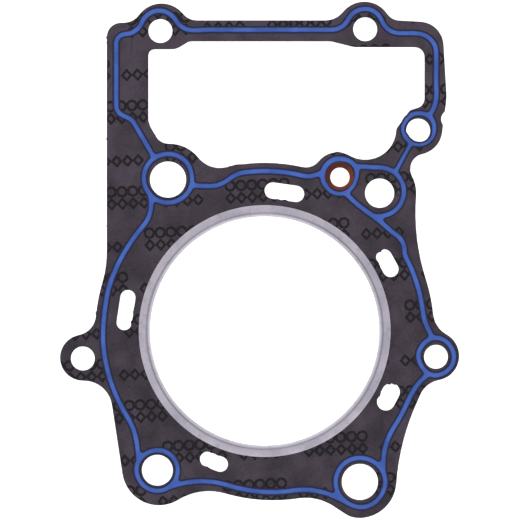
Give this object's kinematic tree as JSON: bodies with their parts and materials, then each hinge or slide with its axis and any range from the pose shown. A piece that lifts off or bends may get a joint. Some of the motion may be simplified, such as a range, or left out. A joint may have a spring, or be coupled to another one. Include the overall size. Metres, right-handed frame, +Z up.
{
  "type": "cylinder head gasket",
  "caption": "Flat composite cylinder head gasket with a folded steel ring at the bore, a chain tunnel, stud and bolt holes, coolant slots and a raised blue sealing bead.",
  "frame": {"origin": "on the cylinder bore's axis, halfway through the sheet's thickness", "axes": "+Z up along the bore's axis, out of the side that the picture shows; +Y towards the chain tunnel, which is the gasket's longest direction; +X to the picture's right"},
  "size_m": [0.1437, 0.1859, 0.0016],
  "materials": {
    "graphite_composite": "matt dark grey fibre composite sheet, faintly mottled",
    "blue_sealant": "satin blue printed silicone bead with darker edges",
    "steel_ring": "dull tinned steel, folded and pressed",
    "brown_elastomer": "glossy moulded reddish brown fluoroelastomer"
  },
  "bodies": {
    "root": {"gasket_sheet": "graphite_composite", "fire_ring": "steel_ring", "upper_sealing_bead": "blue_sealant", "oil_passage_seal": "brown_elastomer"}
  },
  "joints": []
}
